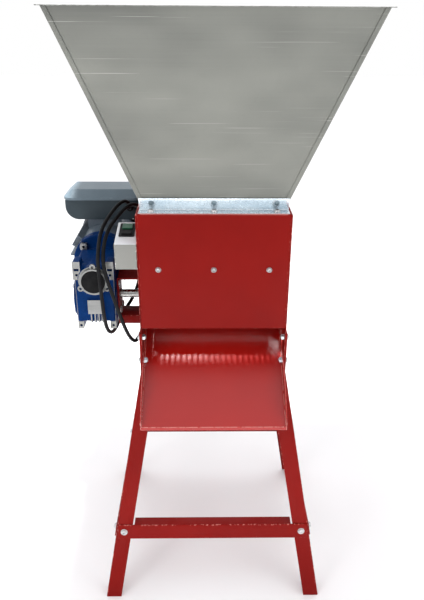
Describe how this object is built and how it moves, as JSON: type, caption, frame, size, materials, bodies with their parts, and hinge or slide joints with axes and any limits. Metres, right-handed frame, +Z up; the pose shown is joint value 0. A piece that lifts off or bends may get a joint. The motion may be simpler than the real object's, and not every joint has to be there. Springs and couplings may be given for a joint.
{
  "type": "grape crusher",
  "caption": "Electric grape crusher on a four-legged stand: sheet hopper, toothed drum and comb in a red housing, front chute, worm gear motor.",
  "frame": {"origin": "on the floor, under the middle of the housing", "axes": "+X to the operator's right, +Y away from the operator who faces the chute, +Z up"},
  "size_m": [0.71, 0.574, 1.46],
  "materials": {
    "red_paint": "glossy dark red powder coat",
    "galvanised_sheet": "dull hot-dip galvanised sheet",
    "zinc_plate": "bright zinc plate",
    "stainless_steel": "plain rolled stainless sheet",
    "ground_steel": "turned and ground",
    "bearing_steel": "polished",
    "cast_iron_black": "black enamel on a casting",
    "blue_paint": "blue enamel on a casting",
    "bare_aluminium": "machined",
    "black_rubber": "moulded",
    "bronze": "machined bronze",
    "motor_grey": "grey-blue enamel",
    "laminations": "bare steel laminations",
    "black_plastic": "moulded",
    "box_plastic": "moulded, satin",
    "capacitor_shell": "moulded",
    "grey_sheet": "pale grey coated sheet",
    "green_plastic": "glossy",
    "cable_rubber": "satin rubber sheath"
  },
  "bodies": {
    "frame": {"angle_bolts": "zinc_plate", "angle_front": "zinc_plate", "angle_rear": "zinc_plate", "bearing_flanges": "cast_iron_black", "brace_front": "red_paint", "brace_left": "red_paint", "brace_rear": "red_paint", "brace_right": "red_paint", "cable_glands": "black_plastic", "capacitor": "capacitor_shell", "chute": "red_paint", "control_box": "grey_sheet", "deflector": "red_paint", "drive_bolts": "zinc_plate", "drum_bearings": "bearing_steel", "fan_cover": "motor_grey", "fixed_comb": "stainless_steel", "front_panel": "red_paint", "gearbox_bearings": "bearing_steel", "gearbox_bracket": "red_paint", "gearbox_case": "blue_paint", "gearbox_side_cover": "blue_paint", "hopper_front": "galvanised_sheet", "hopper_left": "galvanised_sheet", "hopper_rear": "galvanised_sheet", "hopper_right": "galvanised_sheet", "hopper_rivets": "zinc_plate", "interlock_cable": "cable_rubber", "interlock_switch": "black_plastic", "leg_front_left": "red_paint", "leg_front_right": "red_paint", "leg_rear_left": "red_paint", "leg_rear_right": "red_paint", "motor_cable": "cable_rubber", "motor_flange": "blue_paint", "motor_frame": "motor_grey", "panel_screws": "zinc_plate", "power_inlet": "black_plastic", "rear_panel": "red_paint", "side_plate_left": "red_paint", "side_plate_right": "red_paint", "stand_bolts": "zinc_plate", "stator": "laminations", "switch_body": "black_plastic", "terminal_box": "box_plastic", "terminal_lid": "box_plastic", "worm_cap_plug": "black_rubber", "worm_cap_ring": "bare_aluminium"},
    "drum": {"drum_shaft": "ground_steel", "drum_body": "stainless_steel", "drum_blade_1": "stainless_steel", "drum_blade_2": "stainless_steel", "drum_blade_3": "stainless_steel", "drum_blade_4": "stainless_steel", "worm_wheel": "bronze"},
    "motor_rotor": {"rotor": "ground_steel", "worm": "ground_steel", "fan": "black_plastic"},
    "start_button": {"start_button": "green_plastic"},
    "stop_button": {"stop_button": "black_plastic"}
  },
  "joints": [
    {"name": "drum_spin", "type": "hinge", "parent": "frame", "child": "drum", "pos_m": [0, -0.05, 0.807], "axis": [1, 0, 0], "continuous": true},
    {"name": "motor_spin", "type": "hinge", "parent": "frame", "child": "motor_rotor", "pos_m": [-0.282, 0, 0.87], "axis": [0, 1, 0], "continuous": true},
    {"name": "start_press", "type": "slide", "parent": "frame", "child": "start_button", "axis": [0, 0.2116, -0.9774], "range_m": [0, 0.003], "stiffness_N_per_m": 600},
    {"name": "stop_press", "type": "slide", "parent": "frame", "child": "stop_button", "axis": [0, 0.2116, -0.9774], "range_m": [0, 0.003], "stiffness_N_per_m": 600}
  ],
  "couplings": [
    {"joint": "motor_spin", "follows": "drum_spin", "ratio": 15}
  ]
}
